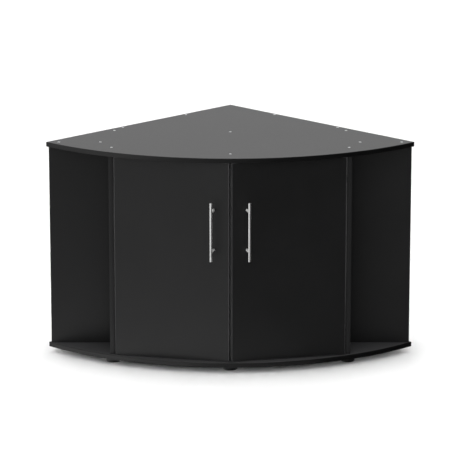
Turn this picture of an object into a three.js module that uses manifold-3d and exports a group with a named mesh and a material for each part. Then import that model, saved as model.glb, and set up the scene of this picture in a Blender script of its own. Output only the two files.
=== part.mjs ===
// Corner aquarium stand cabinet. A quarter-round top and base are joined by seven upright boards: a centre
// partition, two side partitions, two niche walls and two back panels. Two flat doors close the middle on
// single-pivot cup hinges, and each side keeps an open niche. The cabinet stands on round plastic glides.
//
// Millimetres. +X is right for someone facing the doors, +Y runs to the back corner, +Z is up. The origin
// is on the floor, at the centre of the footprint. The left half is modelled, and the right mirrors it.
import * as THREE from "three";
import { mergeVertices } from "three/addons/utils/BufferGeometryUtils.js";
import Module from "manifold-3d";

const wasm = await Module();
wasm.setup();

// ---- Driving dimensions ----

const totalHeight = 730;
const plateRadius = 870; // the length of both wall sides, and the radius of the front arc between them
const boardThickness = 16;
const footHeight = 19;
const fitGap = 0.3; // between pieces that touch inside a turned or cut joint

const partition = { innerFace: 386, front: -146, back: 207 };
const centrePartition = { front: -224, back: 193 };
const nicheWallEnd = 606.5;
const backPanel = { start: 201, offEdge: 4.2 };

const door = { setback: 8.5, sideGap: 2, meetingHalfGap: 5, verticalGap: 1.6, thickness: 16 };
const handle = {
  z: 485.5, // the middle of the bar
  length: 198,
  barRadius: 4.5,
  postRadius: 4,
  postSpacing: 135,
  standoff: 38, // from the door's face to the middle of the bar
  fromFreeEdge: 51,
};
const foot = { radius: 25, groundRadius: 22, chamfer: 4 };
const topScrew = { headRadius: 5, headHeight: 3, radius: 3.2, length: 48, recess: 0.2 };

const hinge = {
  fromDoorEnd: 82, // along the door's height, from its top or bottom edge
  cupRadius: 17.5,
  cupCentre: 21.5, // from the door's hinge edge
  cupDepth: 11.7,
  wall: 0.8,
  pin: { u: 10, v: 8, radius: 1.3, length: 21, play: 0.08 }, // from the door's hinge edge and front face
  eyeRadius: 2.6,
  armThickness: 2,
  armWidth: 12,
};

// ---- Derived places. The plan's own zero is the middle of the chord that joins the two side tips. ----

const cornerY = plateRadius / Math.SQRT2;
const baseTop = footHeight + boardThickness;
const topUnderside = totalHeight - boardThickness;
const partitionOuter = partition.innerFace + boardThickness;
const arcSegments = 48;

// y of the left half's point at -x on a circle of the given radius about the back corner.
const arcY = (x, radius) => cornerY - Math.sqrt(radius ** 2 - x ** 2);

// A plan point on the left wall side: along it from the back corner, and inwards from it.
const wallPoint = (along, inwards) =>
  new THREE.Vector2((inwards - along) / Math.SQRT2, cornerY - (along + inwards) / Math.SQRT2);

const doorRadius = plateRadius - door.setback;
const hingeEdge = partition.innerFace - door.sideGap;
const hingeCorner = new THREE.Vector2(-hingeEdge, arcY(hingeEdge, doorRadius));
const freeCorner = new THREE.Vector2(-door.meetingHalfGap, arcY(door.meetingHalfGap, doorRadius));
const doorWidth = hingeCorner.distanceTo(freeCorner);
const doorAngle = freeCorner.clone().sub(hingeCorner).angle();
const doorBottom = baseTop + door.verticalGap;
const doorTop = topUnderside - door.verticalGap;

// A plan point from door coordinates: u from the hinge edge to the free edge, v in from the front face.
const planZero = new THREE.Vector2();
const doorPoint = (u, v) => new THREE.Vector2(u, v).rotateAround(planZero, doorAngle).add(hingeCorner);

const hingeHeights = { lower: doorBottom + hinge.fromDoorEnd, upper: doorTop - hinge.fromDoorEnd };
const handleU = doorWidth - handle.fromFreeEdge;
const foremostY = doorPoint(handleU, -handle.standoff).y - handle.barRadius;

// ---- Materials ----

const blackBoard = new THREE.MeshStandardMaterial({ color: 0x17171a, roughness: 0.42, metalness: 0 });
const brushedSteel = new THREE.MeshStandardMaterial({ color: 0xc9c9c7, roughness: 0.3, metalness: 1 });
const zincSteel = new THREE.MeshStandardMaterial({ color: 0xb4b6b8, roughness: 0.4, metalness: 1 });
const blackPlastic = new THREE.MeshStandardMaterial({ color: 0x0f0f10, roughness: 0.6, metalness: 0 });

// ---- Solids ----

function solidOf(geometry) {
  const bare = geometry.clone();
  bare.deleteAttribute("normal");
  bare.deleteAttribute("uv");
  const merged = mergeVertices(bare, 1e-4);
  const mesh = new wasm.Mesh({
    numProp: 3,
    vertProperties: merged.attributes.position.array,
    triVerts: new Uint32Array(merged.index.array),
  });
  return new wasm.Manifold(mesh);
}

function geometryOf(solid) {
  const mesh = solid.getMesh();
  const geometry = new THREE.BufferGeometry();
  geometry.setAttribute("position", new THREE.BufferAttribute(mesh.vertProperties, mesh.numProp));
  geometry.setIndex(new THREE.BufferAttribute(mesh.triVerts, 1));
  return geometry;
}

const cut = (body, ...tools) =>
  geometryOf(tools.reduce((left, tool) => left.subtract(solidOf(tool)), solidOf(body)));

// A box between two opposite corners.
function boxBetween(x0, y0, z0, x1, y1, z1) {
  const box = new THREE.BoxGeometry(x1 - x0, y1 - y0, z1 - z0);
  return box.translate((x0 + x1) / 2, (y0 + y1) / 2, (z0 + z1) / 2);
}

// A plan outline raised from z0 to z1.
function raised(outline, z0, z1) {
  const shape = outline instanceof THREE.Shape ? outline : new THREE.Shape(outline);
  const geometry = new THREE.ExtrudeGeometry(shape, {
    depth: z1 - z0,
    bevelEnabled: false,
    curveSegments: arcSegments,
  });
  return geometry.translate(0, 0, z0);
}

// A turned solid on a vertical axis: the profile is a list of [radius, height], from axis to axis.
function turned(profile, segments) {
  const points = profile.map(([radius, height]) => new THREE.Vector2(radius, height));
  return new THREE.LatheGeometry(points, segments).rotateX(Math.PI / 2);
}

function rod(radius, z0, z1, segments) {
  const cylinder = new THREE.CylinderGeometry(radius, radius, z1 - z0, segments);
  return cylinder.rotateX(Math.PI / 2).translate(0, 0, (z0 + z1) / 2);
}

// The outline of a bent strip of even thickness along a line of plan points.
function stripOutline(points, thickness) {
  const side = (sign) =>
    points.map((point, i) => {
      const before = point.clone().sub(points[Math.max(i - 1, 0)]);
      const after = points[Math.min(i + 1, points.length - 1)].clone().sub(point);
      const into = (before.length() ? before : after).clone().normalize();
      const out = (after.length() ? after : before).clone().normalize();
      const mitre = new THREE.Vector2(-(into.y + out.y), into.x + out.x).normalize();
      const reach = thickness / 2 / mitre.dot(new THREE.Vector2(-into.y, into.x));
      return point.clone().addScaledVector(mitre, sign * reach);
    });
  return [...side(-1), ...side(1).reverse()];
}

// ---- Screws, and the holes they sit in ----

function screwGeometry(play) {
  const head = totalHeight - topScrew.recess + (play ? topScrew.recess + 1 : 0);
  const neck = totalHeight - topScrew.recess - topScrew.headHeight - play;
  const tip = totalHeight - topScrew.length - play;
  const profile = [
    [0, tip],
    [topScrew.radius + play, tip],
    [topScrew.radius + play, neck],
    [topScrew.headRadius + play, neck],
    [topScrew.headRadius + play, head],
    [0, head],
  ];
  return turned(profile, 12);
}

// Where the top is screwed down in the left half, each under the name of its place.
const nicheScrew = { fromEnd: 33.5, fromPartition: 32 };
const sideScrewX = -(partition.innerFace + boardThickness / 2);
const backScrewOff = backPanel.offEdge + boardThickness / 2;
const leftScrews = {
  niche_outer: new THREE.Vector2(-(nicheWallEnd - nicheScrew.fromEnd), 0),
  niche_inner: new THREE.Vector2(-(partitionOuter + nicheScrew.fromPartition), 0),
  side_front: new THREE.Vector2(sideScrewX, partition.front + 64),
  side_back: new THREE.Vector2(sideScrewX, partition.back - 24),
  back_outer: wallPoint(backPanel.start + 330, backScrewOff),
  back_inner: wallPoint(backPanel.start + 30, backScrewOff),
};
const centreScrews = {
  centre_front: new THREE.Vector2(0, centrePartition.front + 42),
  centre_back: new THREE.Vector2(0, centrePartition.back - 32),
};

const holeAt = (place) => screwGeometry(fitGap).translate(place.x, place.y, 0);
const mirrored = (place) => new THREE.Vector2(-place.x, place.y);

// ---- Boards ----

function plateOutline() {
  const shape = new THREE.Shape();
  shape.moveTo(0, cornerY);
  shape.lineTo(-cornerY, 0);
  shape.absarc(0, cornerY, plateRadius, 1.25 * Math.PI, 1.75 * Math.PI, false);
  shape.closePath();
  return shape;
}

function topPlate() {
  const left = Object.values(leftScrews);
  const places = [...left, ...left.map(mirrored), ...Object.values(centreScrews)];
  return cut(raised(plateOutline(), topUnderside, totalHeight), ...places.map(holeAt));
}

const basePlate = () => raised(plateOutline(), footHeight, baseTop);

function centreBoard() {
  const half = boardThickness / 2;
  const board = boxBetween(-half, centrePartition.front, baseTop, half, centrePartition.back, topUnderside);
  return cut(board, ...Object.values(centreScrews).map(holeAt));
}

function sideBoard() {
  const board = boxBetween(
    -partitionOuter, partition.front, baseTop,
    -partition.innerFace, partition.back, topUnderside,
  );
  return cut(board, holeAt(leftScrews.side_front), holeAt(leftScrews.side_back));
}

function nicheBoard() {
  const half = boardThickness / 2;
  const board = boxBetween(-nicheWallEnd, -half, baseTop, -partitionOuter, half, topUnderside);
  return cut(board, holeAt(leftScrews.niche_outer), holeAt(leftScrews.niche_inner));
}

// The back panel stands just inside the wall side, and its outer end is mitred against the side partition.
function backBoard() {
  const outer = backPanel.offEdge;
  const inner = outer + boardThickness;
  const mitreEnd = (off) => (partition.innerFace - fitGap) * Math.SQRT2 + off;
  const outline = [
    wallPoint(backPanel.start, outer),
    wallPoint(mitreEnd(outer), outer),
    wallPoint(mitreEnd(inner), inner),
    wallPoint(backPanel.start, inner),
  ];
  const { back_outer, back_inner } = leftScrews;
  return cut(raised(outline, baseTop, topUnderside), holeAt(back_outer), holeAt(back_inner));
}

// ---- Door, in door coordinates ----

function cupBore(z) {
  const depth = hinge.cupDepth + fitGap;
  const radius = hinge.cupRadius + fitGap;
  const bore = new THREE.CylinderGeometry(radius, radius, depth + 1, 32);
  return bore.translate(hinge.cupCentre, door.thickness - depth / 2 + 0.5, z);
}

function doorBoard() {
  const board = boxBetween(0, 0, doorBottom, doorWidth, door.thickness, doorTop);
  return cut(board, cupBore(hingeHeights.lower), cupBore(hingeHeights.upper));
}

function handleBar() {
  const { z, length, barRadius, standoff } = handle;
  return rod(barRadius, z - length / 2, z + length / 2, 24).translate(handleU, -standoff, 0);
}

// The post's outer end is a saddle that fits round the bar.
function handlePost(z) {
  const length = handle.standoff - fitGap;
  const post = new THREE.CylinderGeometry(handle.postRadius, handle.postRadius, length, 20);
  post.translate(handleU, -fitGap - length / 2, z);
  const bar = rod(handle.barRadius + fitGap, z - 20, z + 20, 24).translate(handleU, -handle.standoff, 0);
  return cut(post, bar);
}

// ---- Hinges ----

// A thin pressed cup with a screw flange on the door's inner face, in door coordinates.
function hingeCup(z) {
  const floor = door.thickness - hinge.cupDepth;
  const rim = door.thickness + fitGap + 1;
  const inside = hinge.cupRadius - hinge.wall;
  const profile = [
    [0, floor],
    [hinge.cupRadius, floor],
    [hinge.cupRadius, rim],
    [inside, rim],
    [inside, floor + hinge.wall],
    [0, floor + hinge.wall],
  ];
  const cup = new THREE.LatheGeometry(profile.map(([r, v]) => new THREE.Vector2(r, v)), 32);
  const flange = boxBetween(-6, rim - 1, -27, 6, rim, 27);
  const mouth = new THREE.CylinderGeometry(inside, inside, 6, 32).translate(0, rim, 0);
  const solid = solidOf(cup).add(solidOf(flange).subtract(solidOf(mouth)));
  return geometryOf(solid).translate(hinge.cupCentre, 0, z);
}

function hingePin(z) {
  const { u, v, radius, length } = hinge.pin;
  return rod(radius, z - length / 2, z + length / 2, 12).translate(u, v, 0);
}

// The arm hooks out of the cup, clears the door's inner face and runs back along the side partition.
const armStandoff = { near: 5.3, far: 12.3 }; // the channel's two faces, from the partition
function hingeArm(z) {
  const hookDepth = 12.5;
  const hookRise = 14;
  const { pin, armWidth, armThickness, eyeRadius } = hinge;
  const channelX = -partition.innerFace + (armStandoff.near + armStandoff.far) / 2;
  const channelFront = partition.front + 22;
  const path = [
    doorPoint(pin.u, pin.v),
    doorPoint(pin.u + hookDepth, pin.v),
    doorPoint(pin.u + hookDepth, pin.v + hookRise),
    new THREE.Vector2(channelX, channelFront),
    new THREE.Vector2(channelX, channelFront + 12),
  ];
  const axis = doorPoint(pin.u, pin.v);
  const low = z - armWidth / 2;
  const high = z + armWidth / 2;
  const strip = raised(stripOutline(path, armThickness), low, high);
  const eye = rod(eyeRadius, low, high, 20).translate(axis.x, axis.y, 0);
  const channel = boxBetween(
    -partition.innerFace + armStandoff.near, channelFront + 4, low,
    -partition.innerFace + armStandoff.far, channelFront + 50, high,
  );
  const bore = rod(pin.radius + pin.play, low - 1, high + 1, 12).translate(axis.x, axis.y, 0);
  return geometryOf(solidOf(strip).add(solidOf(eye)).add(solidOf(channel)).subtract(solidOf(bore)));
}

// A cross-shaped mounting plate on the side partition's inner face.
function hingePlate(z) {
  const face = -partition.innerFace;
  const thickness = armStandoff.near - fitGap;
  const middle = partition.front + 54;
  const body = boxBetween(face, middle - 20, z - 8, face + thickness, middle + 20, z + 8);
  const wings = boxBetween(face, middle - 8, z - 26, face + thickness - 2, middle + 8, z + 26);
  return geometryOf(solidOf(body).add(solidOf(wings)));
}

// ---- Feet ----

const footProfile = [
  [0, 0],
  [foot.groundRadius, 0],
  [foot.radius, foot.chamfer],
  [foot.radius, footHeight],
  [0, footHeight],
];
const footGeometry = () => turned(footProfile, 24);

const leftFeet = {
  side_front: new THREE.Vector2(sideScrewX, -106),
  side_back: new THREE.Vector2(sideScrewX, 170),
  niche: new THREE.Vector2(-525, 22),
};
const centreFeet = {
  centre_front: new THREE.Vector2(0, -201),
  centre_back: new THREE.Vector2(0, 150),
  back_corner: new THREE.Vector2(0, 545),
};

// ---- Assembly ----

function node(name, geometry, material) {
  const mesh = new THREE.Mesh(geometry, material);
  mesh.name = name;
  return mesh;
}

function placed(name, geometry, material, place) {
  const mesh = node(name, geometry, material);
  mesh.position.set(place.x, place.y, 0);
  return mesh;
}

function doorAssembly(side) {
  const group = new THREE.Group();
  group.position.set(hingeCorner.x, hingeCorner.y, 0);
  group.rotation.z = doorAngle;
  group.add(node(`door_${side}`, doorBoard(), blackBoard));
  group.add(node(`handle_bar_${side}`, handleBar(), brushedSteel));
  const posts = { lower: handle.z - handle.postSpacing / 2, upper: handle.z + handle.postSpacing / 2 };
  for (const [level, z] of Object.entries(posts)) {
    group.add(node(`handle_post_${level}_${side}`, handlePost(z), brushedSteel));
  }
  for (const [level, z] of Object.entries(hingeHeights)) {
    group.add(node(`hinge_cup_${level}_${side}`, hingeCup(z), zincSteel));
    group.add(node(`hinge_pin_${level}_${side}`, hingePin(z), zincSteel));
  }
  return group;
}

function half(side) {
  const group = new THREE.Group();
  if (side === "right") group.scale.x = -1;
  group.add(node(`side_partition_${side}`, sideBoard(), blackBoard));
  group.add(node(`niche_wall_${side}`, nicheBoard(), blackBoard));
  group.add(node(`back_panel_${side}`, backBoard(), blackBoard));
  for (const [level, z] of Object.entries(hingeHeights)) {
    group.add(node(`hinge_arm_${level}_${side}`, hingeArm(z), zincSteel));
    group.add(node(`hinge_plate_${level}_${side}`, hingePlate(z), zincSteel));
  }
  for (const [name, place] of Object.entries(leftScrews)) {
    group.add(placed(`top_screw_${name}_${side}`, screwGeometry(0), zincSteel, place));
  }
  for (const [name, place] of Object.entries(leftFeet)) {
    group.add(placed(`foot_${name}_${side}`, footGeometry(), blackPlastic, place));
  }
  group.add(doorAssembly(side));
  return group;
}

const cabinet = new THREE.Group();
cabinet.position.y = -(cornerY + foremostY) / 2;
cabinet.add(node("top_plate", topPlate(), blackBoard));
cabinet.add(node("base_plate", basePlate(), blackBoard));
cabinet.add(node("centre_partition", centreBoard(), blackBoard));
for (const [name, place] of Object.entries(centreScrews)) {
  cabinet.add(placed(`top_screw_${name}`, screwGeometry(0), zincSteel, place));
}
for (const [name, place] of Object.entries(centreFeet)) {
  cabinet.add(placed(`foot_${name}`, footGeometry(), blackPlastic, place));
}
cabinet.add(half("left"), half("right"));

export default cabinet;
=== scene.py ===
# Corner aquarium stand cabinet: the looks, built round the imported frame. Metres, in the frame's own axes.
# Left-hand pieces are built first, and each right-hand piece is the mirror image of its left one.
import math

import bmesh
import bpy
from mathutils import Matrix, Vector


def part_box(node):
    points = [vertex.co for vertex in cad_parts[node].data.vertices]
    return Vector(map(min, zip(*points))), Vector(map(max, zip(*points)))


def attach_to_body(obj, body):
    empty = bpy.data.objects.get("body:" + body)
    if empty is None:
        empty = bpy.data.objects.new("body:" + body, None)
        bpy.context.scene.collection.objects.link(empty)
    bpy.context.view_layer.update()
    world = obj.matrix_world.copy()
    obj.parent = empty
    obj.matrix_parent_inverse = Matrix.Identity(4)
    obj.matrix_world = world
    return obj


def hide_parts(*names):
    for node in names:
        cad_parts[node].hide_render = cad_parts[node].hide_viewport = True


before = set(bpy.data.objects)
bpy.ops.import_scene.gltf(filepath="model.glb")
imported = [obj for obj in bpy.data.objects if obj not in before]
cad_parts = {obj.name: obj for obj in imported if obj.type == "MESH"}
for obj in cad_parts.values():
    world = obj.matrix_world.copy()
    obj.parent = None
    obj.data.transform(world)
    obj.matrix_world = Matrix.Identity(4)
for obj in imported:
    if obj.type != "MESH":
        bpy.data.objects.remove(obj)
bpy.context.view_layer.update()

MM = 0.001
Z_AXIS = Vector((0, 0, 1))

# ---- Places and sizes that the frame gives ----

TOP_LOW, TOP_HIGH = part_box("top_plate")
BASE_LOW, BASE_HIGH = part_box("base_plate")
CORNER_Y = TOP_HIGH.y
RADIUS = TOP_HIGH.y - TOP_LOW.y
BOARD = TOP_HIGH.z - TOP_LOW.z

DOOR_LOW, DOOR_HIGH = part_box("door_left")
PIN_LOW, PIN_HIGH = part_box("hinge_pin_lower_left")
BAR_LOW, BAR_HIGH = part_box("handle_bar_left")
POST_NODES = ("handle_post_lower", "handle_post_upper")
HINGE_LEVELS = ("lower", "upper")

# ---- Sizes of the details ----

ARRIS = 1.0 * MM  # the rounding along a board's edges
CUT_ARRIS = 0.3 * MM  # the same where one board stands against another
ARRIS_STEPS = 3
BAND = 1.6 * MM  # how far in from the edge the edging strip's joint runs
JOINT = 0.12 * MM  # half the width, and the depth, of that joint
ARC_STEPS = 120  # along the round front edge of the top and base

HEAD_RADIUS = 5.0 * MM  # of the top's screws
SHANK_RADIUS = 3.2 * MM
THREAD_CORE = 2.3 * MM
THREAD_PITCH = 3.0 * MM

BAR_RADIUS = (BAR_HIGH.x - BAR_LOW.x) / 2
POST_RADIUS = 4.0 * MM
STANDOFF = 38.0 * MM  # from the door's face to the bar's centre line

CUP_RADIUS = 17.5 * MM
CUP_FROM_EDGE = 21.5 * MM
CUP_BORE_DEPTH = 12.0 * MM
CUP_WALL = 0.8 * MM
FLANGE_RADIUS = 18.6 * MM
EAR_REACH = 21.0 * MM  # from the cup's centre to the centre of an ear's round end
EAR_RADIUS = 6.0 * MM
EAR_SCREW = 22.0 * MM  # from the cup's centre to each ear's screw
PIN_RADIUS = 1.25 * MM
ARM_WIDTH = 12.0 * MM

# ---- Geometry helpers ----


def new_object(name, bm, materials, smooth_angle=35):
    """A mesh object made from bm, shaded smooth up to an angle."""
    bmesh.ops.recalc_face_normals(bm, faces=bm.faces)
    mesh = bpy.data.meshes.new(name)
    bm.to_mesh(mesh)
    bm.free()
    for material in materials:
        mesh.materials.append(material)
    mesh.shade_smooth()
    mesh.set_sharp_from_angle(angle=math.radians(smooth_angle))
    obj = bpy.data.objects.new(name, mesh)
    bpy.context.scene.collection.objects.link(obj)
    return obj


def mirrored(obj, name):
    """The right-hand twin of a left-hand piece."""
    bm = bmesh.new()
    bm.from_mesh(obj.data)
    bmesh.ops.transform(bm, matrix=Matrix.Diagonal((-1, 1, 1, 1)), verts=bm.verts)
    return new_object(name, bm, list(obj.data.materials))


def attach(obj, body, node):
    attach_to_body(obj, body)
    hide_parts(node)


def pair(obj, name, node, on_door=False):
    """Names a left-hand piece, makes its right-hand twin, and ties both to the frame."""
    twin = mirrored(obj, f"{name}_right")
    obj.name = obj.data.name = f"{name}_left"
    for side, piece in (("left", obj), ("right", twin)):
        attach(piece, f"door_{side}" if on_door else "carcass", f"{node}_{side}")


def offset_outline(points, distance):
    """An outline, run anticlockwise, moved inwards by distance with mitred corners."""
    moved = []
    for i, point in enumerate(points):
        before = (point - points[i - 1]).normalized()
        after = (points[(i + 1) % len(points)] - point).normalized()
        mitre = (Vector((-before.y, before.x)) + Vector((-after.y, after.x))).normalized()
        reach = mitre.dot(Vector((-after.y, after.x)))
        moved.append(point + mitre * (distance / max(reach, 0.2)))
    return moved


def rectangle(x0, y0, x1, y1):
    return [Vector((x0, y0)), Vector((x1, y0)), Vector((x1, y1)), Vector((x0, y1))]


def round_corners(points, radius, steps=3):
    """An outline, run anticlockwise, with its convex corners rounded."""
    rounded = []
    for i, point in enumerate(points):
        before = (points[i - 1] - point).normalized()
        after = (points[(i + 1) % len(points)] - point).normalized()
        half = before.angle(after) / 2
        centre = point + (before + after).normalized() * (radius / math.sin(half))
        start = point + before * (radius / math.tan(half)) - centre
        end = point + after * (radius / math.tan(half)) - centre
        turn = start.angle_signed(end)
        for k in range(steps + 1):
            spoke = start.copy()
            spoke.rotate(Matrix.Rotation(-turn * k / steps, 2))
            rounded.append(centre + spoke)
    return rounded


def skin(bm, low, high, index):
    """Joins two closed rings of the same count of vertices with a band of faces."""
    for i in range(len(low)):
        j = (i + 1) % len(low)
        bm.faces.new((low[i], low[j], high[j], high[i])).material_index = index


def slab_profile(thickness, arris, joint):
    """(inset, height) pairs up a slab's edge: rounded arrises, and the fine joint of the edging strip."""
    lower = []
    if joint:
        lower += [(BAND + JOINT, 0), (BAND, JOINT), (BAND - JOINT, 0)]
    for k in range(ARRIS_STEPS + 1):
        angle = math.pi / 2 * k / ARRIS_STEPS
        lower.append((arris * (1 - math.sin(angle)), arris * (1 - math.cos(angle))))
    return lower + [(inset, thickness - height) for inset, height in reversed(lower)]


def slab(bm, outline, thickness, arris=ARRIS, joint=True, matrix=None):
    """A flat board with its outline, run anticlockwise, on XY. Its faces take material 0, its edges 1."""
    rings = []
    for inset, height in slab_profile(thickness, arris, joint):
        points = offset_outline(outline, inset)
        rings.append([bm.verts.new((p.x, p.y, height)) for p in points])
    face_bands = 2 if joint else 0  # the bands inside the edging strip's joint belong to the face
    last_band = len(rings) - 2
    for k, (low, high) in enumerate(zip(rings, rings[1:])):
        on_face = k < face_bands or k > last_band - face_bands
        skin(bm, low, high, 0 if on_face else 1)
    bm.faces.new(list(reversed(rings[0]))).material_index = 0
    bm.faces.new(rings[-1]).material_index = 0
    if matrix is not None:
        made = [v for ring in rings for v in ring]
        bmesh.ops.transform(bm, matrix=matrix, verts=made)


def upright(place, along):
    """Stands a slab up: x runs along a plan direction, y up, and the thickness to its right."""
    direction = Vector((along[0], along[1], 0)).normalized()
    matrix = Matrix((direction, Z_AXIS, direction.cross(Z_AXIS))).transposed().to_4x4()
    matrix.translation = Vector((place[0], place[1], 0))
    return matrix


def lathe(bm, rings, segments, matrix=None, index=0):
    """A turned solid on the z axis, from (radius, height) rings. A radius may depend on the angle."""
    made = []
    circles = []
    for radius, height in rings:
        if not callable(radius) and radius < 1e-9:
            circle = [bm.verts.new((0, 0, height))]
        else:
            circle = []
            for i in range(segments):
                angle = math.tau * i / segments
                r = radius(angle) if callable(radius) else radius
                circle.append(bm.verts.new((r * math.cos(angle), r * math.sin(angle), height)))
        circles.append(circle)
        made += circle
    for low, high in zip(circles, circles[1:]):
        for i in range(segments):
            j = (i + 1) % segments
            if len(low) == 1:
                corners = (low[0], high[j], high[i])
            elif len(high) == 1:
                corners = (low[i], low[j], high[0])
            else:
                corners = (low[i], low[j], high[j], high[i])
            bm.faces.new(corners).material_index = index
    if matrix is not None:
        bmesh.ops.transform(bm, matrix=matrix, verts=made)
    return made


def hexagon(across):
    """The radius, by angle, of a hexagon of that size across its flats."""
    return lambda angle: across / 2 / math.cos(angle % (math.pi / 3) - math.pi / 6)


def without(obj, cutter):
    """obj with the cutter's space taken out of its mesh. The cutter is used up."""
    modifier = obj.modifiers.new("cut", "BOOLEAN")
    modifier.operation = "DIFFERENCE"
    modifier.solver = "EXACT"
    modifier.object = cutter
    evaluated = obj.evaluated_get(bpy.context.evaluated_depsgraph_get())
    mesh = bpy.data.meshes.new_from_object(evaluated)
    obj.modifiers.clear()
    obj.data = mesh
    mesh.set_sharp_from_angle(angle=math.radians(35))
    bpy.data.objects.remove(cutter)
    return obj


# ---- Materials ----


class Nodes:
    """A short way to build one node material."""

    def __init__(self, name, metallic=0.0, ior=1.5):
        self.material = bpy.data.materials.new(name)
        self.material.use_nodes = True
        self.tree = self.material.node_tree
        self.shader = self.tree.nodes["Principled BSDF"]
        self.shader.inputs["Metallic"].default_value = metallic
        self.shader.inputs["IOR"].default_value = ior
        self.place = self.add("ShaderNodeTexCoord").outputs["Object"]

    def add(self, kind, inputs=None, **settings):
        node = self.tree.nodes.new(kind)
        for key, value in settings.items():
            setattr(node, key, value)
        for key, value in (inputs or {}).items():
            if isinstance(value, bpy.types.NodeSocket):
                self.tree.links.new(value, node.inputs[key])
            else:
                node.inputs[key].default_value = value
        return node

    def noise(self, scale, detail=2.0, stretch=(1, 1, 1), rough=0.5):
        mapping = self.add("ShaderNodeMapping", {"Vector": self.place, "Scale": stretch})
        inputs = {"Vector": mapping.outputs[0], "Scale": scale, "Detail": detail, "Roughness": rough}
        return self.add("ShaderNodeTexNoise", inputs).outputs["Fac"]

    def ranged(self, value, low, high, start=0.3, end=0.7):
        inputs = {"Value": value, "From Min": start, "From Max": end, "To Min": low, "To Max": high}
        return self.add("ShaderNodeMapRange", inputs).outputs[0]

    def blended(self, factor, first, second):
        node = self.add("ShaderNodeMix", data_type="RGBA")
        self.tree.links.new(factor, node.inputs["Factor"])
        for socket, value in ((node.inputs[6], first), (node.inputs[7], second)):
            if isinstance(value, bpy.types.NodeSocket):
                self.tree.links.new(value, socket)
            else:
                socket.default_value = (*value, 1)
        return node.outputs[2]

    def link(self, value, socket):
        self.tree.links.new(value, self.shader.inputs[socket])

    def bump(self, height, strength, distance):
        node = self.add("ShaderNodeBump", {"Height": height, "Strength": strength, "Distance": distance})
        self.link(node.outputs[0], "Normal")


def melamine(name, shade, roughness, grain, ior=1.4):
    """A satin black board facing with a fine pearl grain. Shade is its lightness."""
    m = Nodes(name, ior=ior)
    cloud = m.ranged(m.noise(6.0, 3.0), 0, 1)
    fine = m.noise(420.0, 4.0, rough=0.65)
    dark, light = ((shade * k, shade * k, shade * k * 1.03) for k in (0.92, 1.08))
    m.link(m.blended(cloud, dark, light), "Base Color")
    m.link(m.ranged(fine, roughness - 0.03, roughness + 0.03), "Roughness")
    m.bump(fine, grain, 0.1 * MM)
    return m.material


def metal(name, colour, roughness, stretch, grain, metallic=1.0):
    """Metal with fine lines that are long along the axis where stretch is small."""
    m = Nodes(name, metallic=metallic)
    lines = m.noise(900.0, 3.0, stretch)
    m.link(m.blended(lines, tuple(c * 0.84 for c in colour), colour), "Base Color")
    m.link(m.ranged(lines, roughness - 0.06, roughness + 0.06), "Roughness")
    m.bump(lines, grain, 0.05 * MM)
    return m.material


def plastic(name, colour, roughness):
    m = Nodes(name)
    fine = m.noise(1500.0, 2.0)
    m.link(m.blended(fine, colour, tuple(c * 1.5 for c in colour)), "Base Color")
    m.link(m.ranged(fine, roughness - 0.05, roughness + 0.05), "Roughness")
    m.bump(fine, 0.15, 0.1 * MM)
    return m.material


FACE = melamine("black_melamine_face", 0.009, 0.42, 0.12)
# The base board's faces are the face melamine made almost five times lighter: painted light on the niche
# floors and on the strip in front of the doors, which the lamps leave too dark.
SHELF_PAINTED_LIGHT = melamine("black_melamine_shelf", 0.042, 0.46, 0.12)
PLATE_EDGE = melamine("black_plate_edge", 0.004, 0.38, 0.03)
EDGE = melamine("black_edge_band", 0.012, 0.45, 0.05)
# The centre board's front edge is ten times lighter than the other edging: painted light on the edge that
# sits in the shaded slot between the door ends.
CENTRE_EDGE_PAINTED_LIGHT = melamine("black_centre_edge_band", 0.12, 0.45, 0.05, 1.5)
# The door edging is about seven times lighter than the face: painted light on the doors' end faces, which
# sit in the shaded gap where the doors meet.
DOOR_EDGE_PAINTED_LIGHT = melamine("black_door_edge_band", 0.062, 0.45, 0.05, 1.5)
BAR_STEEL = metal("brushed_bar_steel", (0.97, 0.97, 0.96), 0.32, (0.04, 0.04, 1.0), 0.08, 0.92)
POST_STEEL = metal("satin_post_metal", (0.88, 0.88, 0.87), 0.6, (1.0, 1.0, 1.0), 0.05, 0.4)
SCREW_ZINC = metal("dull_screw_zinc", (0.86, 0.87, 0.88), 0.55, (1.0, 1.0, 1.0), 0.03)
ZINC = metal("zinc_plated_steel", (0.66, 0.67, 0.68), 0.34, (1.0, 1.0, 1.0), 0.03)
GLIDE = plastic("black_glide_plastic", (0.010, 0.010, 0.010), 0.55)

# ---- Top and base ----


def plate_outline():
    """The quarter-round plan, anticlockwise from the back corner."""
    points = [Vector((0, CORNER_Y))]
    for i in range(ARC_STEPS + 1):
        angle = math.radians(225 + 90 * i / ARC_STEPS)
        points.append(Vector((RADIUS * math.cos(angle), CORNER_Y + RADIUS * math.sin(angle))))
    return points


def plate(name, low, high, face=FACE):
    bm = bmesh.new()
    slab(bm, plate_outline(), high.z - low.z, matrix=Matrix.Translation((0, 0, low.z)))
    return new_object(name, bm, [face, PLATE_EDGE])


def centre_of(node):
    low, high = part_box(node)
    return (low + high) / 2


SCREWS = sorted(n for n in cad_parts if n.startswith("top_screw"))
HEAD_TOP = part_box(SCREWS[0])[1].z


def screw_seats():
    """Round countersunk seats, one at each screw of the top."""
    seat_radius = HEAD_RADIUS + 0.35 * MM
    bottom = HEAD_TOP - 3.4 * MM
    surface = TOP_HIGH.z
    rings = [
        (0, bottom),
        (seat_radius, bottom),
        (seat_radius, surface - 0.25 * MM),
        (seat_radius + 0.6 * MM, surface + 0.35 * MM),
        (0, surface + 0.35 * MM),
    ]
    bm = bmesh.new()
    for node in SCREWS:
        place = centre_of(node)
        lathe(bm, rings, 40, Matrix.Translation((place.x, place.y, 0)))
    return new_object("screw_seats", bm, [PLATE_EDGE])


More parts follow.
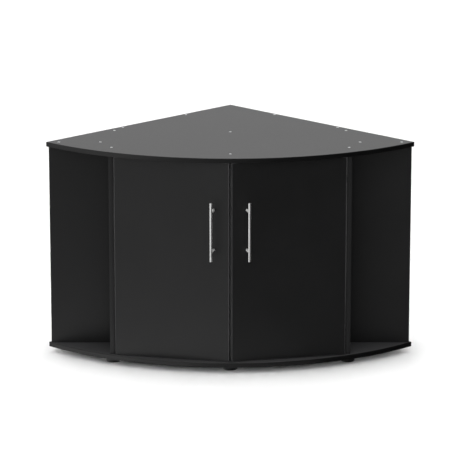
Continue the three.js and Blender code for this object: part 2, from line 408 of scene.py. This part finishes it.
def top_screw(node):
    """A furniture screw with a low domed head, a hexagon socket and a ringed shank."""
    low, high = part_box(node)
    top = high.z
    socket = hexagon(4.0 * MM)
    rings = [
        (0, top - 2.4 * MM),
        (socket, top - 2.0 * MM),
        (socket, top - 0.25 * MM),
        (hexagon(4.3 * MM), top - 0.05 * MM),
        (3.4 * MM, top),
        (4.55 * MM, top - 0.12 * MM),
        (HEAD_RADIUS, top - 0.55 * MM),
        (HEAD_RADIUS, top - 2.6 * MM),
        (4.6 * MM, top - 3.0 * MM),
        (SHANK_RADIUS, top - 3.0 * MM),
        (SHANK_RADIUS, top - 14 * MM),
    ]
    height = top - 16 * MM
    while height > low.z + 6 * MM:
        rings += [(THREAD_CORE, height), (SHANK_RADIUS, height - THREAD_PITCH / 2)]
        height -= THREAD_PITCH
    rings += [(2.2 * MM, low.z + 3 * MM), (1.2 * MM, low.z), (0, low.z)]
    bm = bmesh.new()
    place = centre_of(node)
    lathe(bm, rings, 36, Matrix.Translation((place.x, place.y, 0)))
    obj = new_object(node.replace("top_screw", "screw"), bm, [SCREW_ZINC], smooth_angle=40)
    attach(obj, "carcass", node)


top_board = without(plate("top_board", TOP_LOW, TOP_HIGH), screw_seats())
attach(top_board, "carcass", "top_plate")
# The base board takes the lighter shelf melamine, whose colour holds painted light for the niche floors.
attach(plate("base_board", BASE_LOW, BASE_HIGH, SHELF_PAINTED_LIGHT), "carcass", "base_plate")
for node in SCREWS:
    top_screw(node)

# ---- Upright boards ----


def board_between(name, node, along, edge=EDGE):
    """The upright board that fills a node's box, with its face along X or along Y."""
    low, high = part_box(node)
    if along == "X":
        matrix = upright((low.x, high.y), (1, 0))
        length = high.x - low.x
    else:
        matrix = upright(low.xy, (0, 1))
        length = high.y - low.y
    bm = bmesh.new()
    slab(bm, rectangle(0, low.z, length, high.z), BOARD, CUT_ARRIS, matrix=matrix)
    return new_object(name, bm, [FACE, edge])


def back_board():
    """The panel beside a wall, in plan a strip at 45 degrees whose outer end is cut parallel to Y."""
    low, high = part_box("back_panel_left")
    step = BOARD * math.sqrt(0.5)
    wall_end = Vector((high.x - step, high.y))
    room_end = Vector((high.x, high.y - step))
    far_wall = Vector((low.x, wall_end.y - (wall_end.x - low.x)))
    far_room = Vector((low.x, room_end.y - (room_end.x - low.x)))
    outline = [wall_end, far_wall, far_room, room_end]
    bm = bmesh.new()
    slab(bm, outline, high.z - low.z, CUT_ARRIS, joint=False, matrix=Matrix.Translation((0, 0, low.z)))
    side_area = 0.05  # square metres: the two sides are larger than this, and the edges are smaller
    for face in bm.faces:
        face.material_index = 0 if face.calc_area() > side_area else 1
    return new_object("back_board", bm, [FACE, EDGE])


# The centre board's edges take the lighter centre edging, whose colour holds painted light for its shaded
# front edge.
centre_board = board_between("centre_board", "centre_partition", "Y", CENTRE_EDGE_PAINTED_LIGHT)
attach(centre_board, "carcass", "centre_partition")
pair(board_between("side_board", "side_partition_left", "Y"), "side_board", "side_partition")
pair(board_between("niche_board", "niche_wall_left", "X"), "niche_board", "niche_wall")
pair(back_board(), "back_board", "back_panel")

# ---- Doors. Door coordinates: x from the hinge edge, y up, z out of the front face. ----


def door_angle():
    """The left door's turn from the X axis, settled from its box in a few rounds."""
    box = DOOR_HIGH - DOOR_LOW
    angle = 0.0
    for _ in range(12):
        angle = math.atan2(box.y - BOARD * math.cos(angle), box.x - BOARD * math.sin(angle))
    return -angle


DOOR_ANGLE = door_angle()
DOOR_ALONG = Vector((math.cos(DOOR_ANGLE), math.sin(DOOR_ANGLE)))
DOOR_WIDTH = (DOOR_HIGH.x - DOOR_LOW.x + BOARD * DOOR_ALONG.y) / DOOR_ALONG.x
HINGE_CORNER = Vector((DOOR_LOW.x, DOOR_HIGH.y - BOARD * DOOR_ALONG.x))
DOOR = upright(HINGE_CORNER, DOOR_ALONG)
HANDLE_U = (DOOR.inverted() @ Vector(((BAR_LOW.x + BAR_HIGH.x) / 2, (BAR_LOW.y + BAR_HIGH.y) / 2, 0))).x
HINGE_HEIGHTS = {level: centre_of(f"hinge_cup_{level}_left").z for level in HINGE_LEVELS}


def door_board():
    bm = bmesh.new()
    outline = rectangle(0, DOOR_LOW.z, DOOR_WIDTH, DOOR_HIGH.z)
    slab(bm, outline, BOARD, matrix=DOOR @ Matrix.Translation((0, 0, -BOARD)))
    # The door's edges take the lighter door edging, whose colour holds painted light for the end faces in
    # the gap.
    board = new_object("door", bm, [FACE, DOOR_EDGE_PAINTED_LIGHT])
    bm = bmesh.new()
    bore_radius = CUP_RADIUS + 0.3 * MM
    rings = [
        (0, -BOARD + CUP_BORE_DEPTH),
        (bore_radius, -BOARD + CUP_BORE_DEPTH),
        (bore_radius, -BOARD - MM),
        (0, -BOARD - MM),
    ]
    for z in HINGE_HEIGHTS.values():
        lathe(bm, rings, 48, DOOR @ Matrix.Translation((CUP_FROM_EDGE, z, 0)))
    return without(board, new_object("cup_bores", bm, [FACE]))


def handle_bar():
    low, high = BAR_LOW.z, BAR_HIGH.z
    r, chamfer = BAR_RADIUS, 0.5 * MM
    rings = [
        (0, low),
        (r - 2 * chamfer, low),
        (r - 0.3 * chamfer, low + 0.4 * chamfer),
        (r, low + chamfer),
        (r, high - chamfer),
        (r - 0.3 * chamfer, high - 0.4 * chamfer),
        (r - 2 * chamfer, high),
        (0, high),
    ]
    middle = DOOR @ Vector((HANDLE_U, 0, STANDOFF))
    bm = bmesh.new()
    lathe(bm, rings, 40, Matrix.Translation((middle.x, middle.y, 0)))
    return new_object("handle_bar", bm, [BAR_STEEL], smooth_angle=50)


def handle_post(z):
    """A round post whose outer end is a saddle that fits round the bar."""
    bm = bmesh.new()
    chamfer = 0.4 * MM
    foot = 0.3 * MM  # a hair clear of the door's face
    rings = [
        (0, foot),
        (POST_RADIUS - chamfer, foot),
        (POST_RADIUS, foot + chamfer),
        (POST_RADIUS, STANDOFF),
        (0, STANDOFF),
    ]
    made = lathe(bm, rings, 36)
    saddle = BAR_RADIUS + 0.05 * MM
    for v in made:
        if v.co.z > STANDOFF - MM:
            v.co.z = STANDOFF - math.sqrt(max(saddle**2 - v.co.x**2, 0))
    bmesh.ops.transform(bm, matrix=DOOR @ Matrix.Translation((HANDLE_U, z, 0)), verts=made)
    return new_object("handle_post", bm, [POST_STEEL], smooth_angle=50)


pair(door_board(), "door_board", "door", on_door=True)
pair(handle_bar(), "bar", "handle_bar", on_door=True)
for node in POST_NODES:
    post = handle_post(centre_of(f"{node}_left").z)
    pair(post, node.replace("handle_", ""), node, on_door=True)

# ---- Hinges ----

PIN = centre_of("hinge_pin_lower_left")


def head_screw(bm, matrix, radius, height):
    """A low domed screw head with a hexagon socket, on the local z axis."""
    socket = hexagon(radius * 0.95)
    rings = [
        (0, height * 0.2),
        (socket, height * 0.25),
        (socket, height * 0.95),
        (radius * 0.72, height),
        (radius * 0.93, height * 0.72),
        (radius, height * 0.3),
        (radius, -0.4 * MM),
        (0, -0.4 * MM),
    ]
    lathe(bm, rings, 36, matrix)


def ear_outline(angle):
    """The radius, by angle, of a cup's flange: a disc with two round-ended ears along y."""
    side, up = abs(math.cos(angle)), abs(math.sin(angle))
    ear = EAR_RADIUS / max(side, 1e-6)
    if ear * up > EAR_REACH:
        ear = EAR_REACH * up + math.sqrt(max(EAR_RADIUS**2 - (EAR_REACH * side) ** 2, 0))
    return max(FLANGE_RADIUS, ear)


def hinge_cup(z):
    """A pressed cup sunk in the door's inner face, its flange and the flange's two screws."""
    low, high = 4.3 * MM, 17.3 * MM  # depths behind the door's front face
    under = BOARD + 0.05 * MM
    inside = CUP_RADIUS - CUP_WALL
    rings = [
        (0, low),
        (CUP_RADIUS - 0.8 * MM, low),
        (CUP_RADIUS, low + 0.8 * MM),
        (CUP_RADIUS, under),
        (ear_outline, under),
        (ear_outline, high - 0.3 * MM),
        (lambda angle: ear_outline(angle) - 0.3 * MM, high),
        (inside + 0.3 * MM, high),
        (inside, high - 0.6 * MM),
        (inside, low + CUP_WALL + 0.5 * MM),
        (inside - 0.5 * MM, low + CUP_WALL),
        (0, low + CUP_WALL),
    ]
    place = DOOR @ Matrix.Translation((CUP_FROM_EDGE, z, 0)) @ Matrix.Rotation(math.pi, 4, "X")
    bm = bmesh.new()
    lathe(bm, rings, 96, place)
    for side in (-1, 1):
        seat = Matrix.Translation((0, side * EAR_SCREW, high - 0.5 * MM))
        head_screw(bm, place @ seat, 3.4 * MM, 0.5 * MM)
    return new_object("hinge_cup", bm, [ZINC], smooth_angle=40)


def hinge_pin(z):
    half = (PIN_HIGH.z - PIN_LOW.z) / 2
    rings = [
        (0, -half),
        (PIN_RADIUS * 0.7, -half),
        (PIN_RADIUS, -half + 0.4 * MM),
        (PIN_RADIUS, half - 0.4 * MM),
        (PIN_RADIUS * 0.7, half),
        (0, half),
    ]
    bm = bmesh.new()
    lathe(bm, rings, 24, Matrix.Translation((PIN.x, PIN.y, z)))
    return new_object("hinge_pin", bm, [ZINC], smooth_angle=40)


def bent_strip(points, thickness):
    """The plan outline of a bent strip of even thickness, anticlockwise."""
    sides = []
    for sign in (1, -1):
        line = []
        for i, point in enumerate(points):
            into = point - points[i - 1] if i else points[1] - point
            out = points[i + 1] - point if i < len(points) - 1 else into
            into, out = into.normalized(), out.normalized()
            mitre = Vector((into.y + out.y, -into.x - out.x)).normalized()
            reach = thickness / 2 / mitre.dot(Vector((into.y, -into.x)))
            line.append(point + mitre * sign * reach)
        sides.append(line)
    return sides[0] + list(reversed(sides[1]))


def eased(points, reach, steps=5):
    """A line of plan points with each bend eased into a short curve."""
    line = [points[0]]
    for before, corner, after in zip(points, points[1:], points[2:]):
        start = corner + (before - corner).normalized() * reach
        end = corner + (after - corner).normalized() * reach
        for k in range(steps + 1):
            t = k / steps
            line.append(start * (1 - t) ** 2 + corner * 2 * t * (1 - t) + end * t**2)
    line.append(points[-1])
    return line


def hinge_arm(z):
    """A pressed arm that hooks out of the cup and runs back along the side partition, with set screws."""
    hook, rise = 12.5 * MM, 14.0 * MM  # along the door from the pin, and then out of the cup
    sheet = 1.9 * MM
    set_screws = ((14.0 * MM, 3.0 * MM), (34.0 * MM, 4.0 * MM))  # place along the channel, head radius
    pin = DOOR.inverted() @ Vector((PIN.x, PIN.y, 0))
    in_door = [(pin.x + 2.2 * MM, pin.z), (pin.x + hook, pin.z), (pin.x + hook, pin.z - rise)]
    path = [(DOOR @ Vector((x, 0, depth))).xy for x, depth in in_door]
    low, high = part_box("hinge_arm_lower_left")
    face = low.x + 0.3 * MM
    channel_depth = 6.4 * MM
    channel_front = high.y - 48.0 * MM
    spine = face + channel_depth / 2
    path += [Vector((spine, channel_front)), Vector((spine, channel_front + 8 * MM))]
    bottom = z - ARM_WIDTH / 2
    centred = Matrix.Translation((0, 0, bottom))
    bm = bmesh.new()
    strip = bent_strip(eased(path, 2.5 * MM), sheet)
    slab(bm, strip, ARM_WIDTH, 0.3 * MM, joint=False, matrix=centred)
    bore, outside, chamfer = 1.4 * MM, 2.6 * MM, 0.3 * MM
    eye = [
        (bore, 0),
        (outside - chamfer, 0),
        (outside, chamfer),
        (outside, ARM_WIDTH - chamfer),
        (outside - chamfer, ARM_WIDTH),
        (bore, ARM_WIDTH),
        (bore, 0),
    ]
    lathe(bm, eye, 32, Matrix.Translation((PIN.x, PIN.y, bottom)))
    channel = rectangle(face, channel_front + 2 * MM, face + channel_depth, high.y - 0.2 * MM)
    slab(bm, round_corners(channel, 1.6 * MM), ARM_WIDTH, 0.8 * MM, joint=False, matrix=centred)
    outwards = Matrix.Rotation(math.pi / 2, 4, "Y")
    for along, radius in set_screws:
        place = Matrix.Translation((face + channel_depth, channel_front + along, z))
        head_screw(bm, place @ outwards, radius, 0.6 * MM)
    return new_object("hinge_arm", bm, [ZINC], smooth_angle=40)


def hinge_plate(z):
    """A cross-shaped mounting plate on the side partition, with its two screws."""
    low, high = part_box("hinge_plate_lower_left")
    middle = (low.y + high.y) / 2
    half_height = (high.z - low.z) / 2
    half_width = 8 * MM
    screw_offset = 16 * MM
    bm = bmesh.new()
    on_face = Matrix.Translation((low.x, middle, z)) @ Matrix.Rotation(math.pi / 2, 4, "Y")
    rail = rectangle(-half_width, low.y - middle, half_width, high.y - middle)
    slab(bm, round_corners(rail, 3 * MM), high.x - low.x, 0.6 * MM, joint=False, matrix=on_face)
    wings = rectangle(-half_height, -half_width, half_height, half_width)
    wing_thickness = high.x - low.x - 2 * MM
    slab(bm, round_corners(wings, 6 * MM), wing_thickness, 0.5 * MM, joint=False, matrix=on_face)
    for side in (-1, 1):
        seat = Matrix.Translation((side * screw_offset, 0, wing_thickness))
        head_screw(bm, on_face @ seat, 4.2 * MM, 1.2 * MM)
    return new_object("hinge_plate", bm, [ZINC], smooth_angle=40)


for level, height in HINGE_HEIGHTS.items():
    pair(hinge_cup(height), f"cup_{level}", f"hinge_cup_{level}", on_door=True)
    pair(hinge_pin(height), f"pin_{level}", f"hinge_pin_{level}", on_door=True)
    pair(hinge_arm(height), f"arm_{level}", f"hinge_arm_{level}")
    pair(hinge_plate(height), f"mount_{level}", f"hinge_plate_{level}")

# ---- Feet ----


def glide_rings():
    """A round plastic glide: a ribbed side, a soft lower edge and a recess for its nail."""
    low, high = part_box("foot_centre_front")
    r = (high.x - low.x) / 2
    h = high.z
    return [
        (0, 5.0 * MM),
        (4.0 * MM, 5.0 * MM),
        (4.6 * MM, 0.6 * MM),
        (5.2 * MM, 0),
        (r - 4.0 * MM, 0),
        (r - 2.2 * MM, 0.5 * MM),
        (r - 1.0 * MM, 1.8 * MM),
        (r - 0.4 * MM, 4.0 * MM),
        (r - 0.4 * MM, 8.0 * MM),
        (r - 1.2 * MM, 8.6 * MM),
        (r - 1.2 * MM, 9.4 * MM),
        (r - 0.4 * MM, 10.0 * MM),
        (r, h - 3.0 * MM),
        (r, h - 0.4 * MM),
        (r - 0.4 * MM, h),
        (0, h),
    ]


GLIDE_RINGS = glide_rings()
for node in [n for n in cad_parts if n.startswith("foot")]:
    place = centre_of(node)
    bm = bmesh.new()
    lathe(bm, GLIDE_RINGS, 48, Matrix.Translation((place.x, place.y, 0)))
    foot = new_object(node.replace("foot", "glide"), bm, [GLIDE], smooth_angle=40)
    attach(foot, "carcass", node)

# ---- Floor, lights and camera ----

FLOOR_REACH = 60
FLOOR_SPREAD = 0.15  # how far light travels under the floor's surface
CARD_HEIGHT = 0.004


def floor():
    """A wide pale floor that spreads light under its surface, and that no reflection shows."""
    bm = bmesh.new()
    bmesh.ops.create_grid(bm, x_segments=1, y_segments=1, size=FLOOR_REACH)
    m = Nodes("pale_floor")
    m.link(m.blended(m.noise(0.4, 2.0), (0.86, 0.86, 0.86), (0.88, 0.88, 0.88)), "Base Color")
    m.shader.inputs["Roughness"].default_value = 0.9
    m.shader.inputs["Specular IOR Level"].default_value = 0.0
    m.shader.inputs["Subsurface Weight"].default_value = 1.0
    m.shader.inputs["Subsurface Radius"].default_value = (1, 1, 1)
    m.shader.inputs["Subsurface Scale"].default_value = FLOOR_SPREAD
    m.shader.subsurface_method = "BURLEY"
    obj = new_object("floor", bm, [m.material])
    obj.visible_glossy = False


def add_light(name, kind, direction, energy, place=(0, 0, 0), glossy=True, diffuse=True):
    data = bpy.data.lights.new(name, kind)
    data.energy = energy
    obj = bpy.data.objects.new(name, data)
    obj.location = place
    obj.rotation_euler = Vector(direction).to_track_quat("-Z", "Y").to_euler()
    obj.visible_camera = False
    obj.visible_glossy = glossy
    obj.visible_diffuse = diffuse
    bpy.context.scene.collection.objects.link(obj)
    return data


def sun_light(name, direction, spread, energy, **seen):
    add_light(name, "SUN", direction, energy, **seen).angle = math.radians(spread)


def floor_card(name, x, y, size, energy):
    """A panel on the floor that faces up, and that only reflections show."""
    place = (x, y, CARD_HEIGHT)
    data = add_light(name, "AREA", (0, 0, 1), energy, place, diffuse=False)
    data.shape = "RECTANGLE"
    data.size, data.size_y = size


floor()
# Overhead: lights the floor, and leaves a soft shadow just in front of the base.
sun_light("overhead", (0, 0, -1), 30, 2.65)
# Front fill: lifts the matte surfaces a little, and doesn't show in reflections.
sun_light("front_fill", (0, 0.5, -0.85), 50, 0.113, glossy=False)
# Cards: the faint sheen of the floor in the doors, the niche walls and the round edges.
floor_card("left_card", -0.5, -1.3, (0.7, 1.8), 1.014)
floor_card("left_inner_card", -0.3, -1.55, (0.4, 1.3), 0.723)
floor_card("right_card", 0.75, -1.3, (0.9, 1.8), 0.331)
floor_card("side_left_card", -1.6, -1.1, (0.7, 0.9), 1.8)
floor_card("near_card", 0, -0.6, (0.7, 0.4), 0.3)
floor_card("near_left_card", -0.55, -0.38, (0.4, 0.4), 0.25)

# The studio round the cabinet: soft bright patches of sky, each with a direction, a spread in degrees and
# a strength.
SKY = {
    "back": ((0, 1, 0.25), 75, 1.004),
    "left": ((-1, 0, 0.1), 70, 0.772),
    "left_front_low": ((-0.437, -0.866, -0.244), 45, 0.37),
    "front_high": ((0, -0.7, 0.7), 45, 0.915),
    "left_front": ((-0.8, -0.58, 0.15), 40, 0.334),
}


def studio_sky():
    """A world whose brightness is the sum of the patches."""
    world = bpy.data.worlds.new("studio")
    bpy.context.scene.world = world
    world.use_nodes = True
    tree = world.node_tree
    place = tree.nodes.new("ShaderNodeTexCoord").outputs["Generated"]
    total = None
    for part, (direction, spread, strength) in SKY.items():
        facing = tree.nodes.new("ShaderNodeVectorMath")
        facing.operation = "DOT_PRODUCT"
        tree.links.new(place, facing.inputs[0])
        facing.inputs[1].default_value = Vector(direction).normalized()
        ramp = tree.nodes.new("ShaderNodeMapRange")
        ramp.name = part
        ramp.interpolation_type = "SMOOTHSTEP"
        tree.links.new(facing.outputs["Value"], ramp.inputs["Value"])
        ramp.inputs["From Min"].default_value = math.cos(math.radians(spread))
        ramp.inputs["From Max"].default_value = 1.0
        ramp.inputs["To Min"].default_value = 0.0
        ramp.inputs["To Max"].default_value = strength
        if total is None:
            total = ramp.outputs[0]
        else:
            adder = tree.nodes.new("ShaderNodeMath")
            adder.operation = "ADD"
            tree.links.new(ramp.outputs[0], adder.inputs[0])
            tree.links.new(total, adder.inputs[1])
            total = adder.outputs[0]
    tree.links.new(total, tree.nodes["Background"].inputs["Strength"])
    tree.nodes["Background"].inputs["Color"].default_value = (1, 1, 1, 1)


studio_sky()

CAMERA_PLACE = (0, -9.8146, 2.8498)
CAMERA_DIP = 14.105  # degrees below level
CAMERA_LENS = 231.19
CAMERA_SENSOR = 36
CAMERA_SHIFT = -0.0006

camera_data = bpy.data.cameras.new("camera")
camera_data.lens = CAMERA_LENS
camera_data.sensor_width = CAMERA_SENSOR
camera_data.shift_x = CAMERA_SHIFT
camera_data.clip_end = 200
camera = bpy.data.objects.new("camera", camera_data)
camera.location = CAMERA_PLACE
camera.rotation_euler = (math.radians(90 - CAMERA_DIP), 0, 0)
bpy.context.scene.collection.objects.link(camera)
bpy.context.scene.camera = camera
bpy.context.scene.view_settings.view_transform = "Standard"
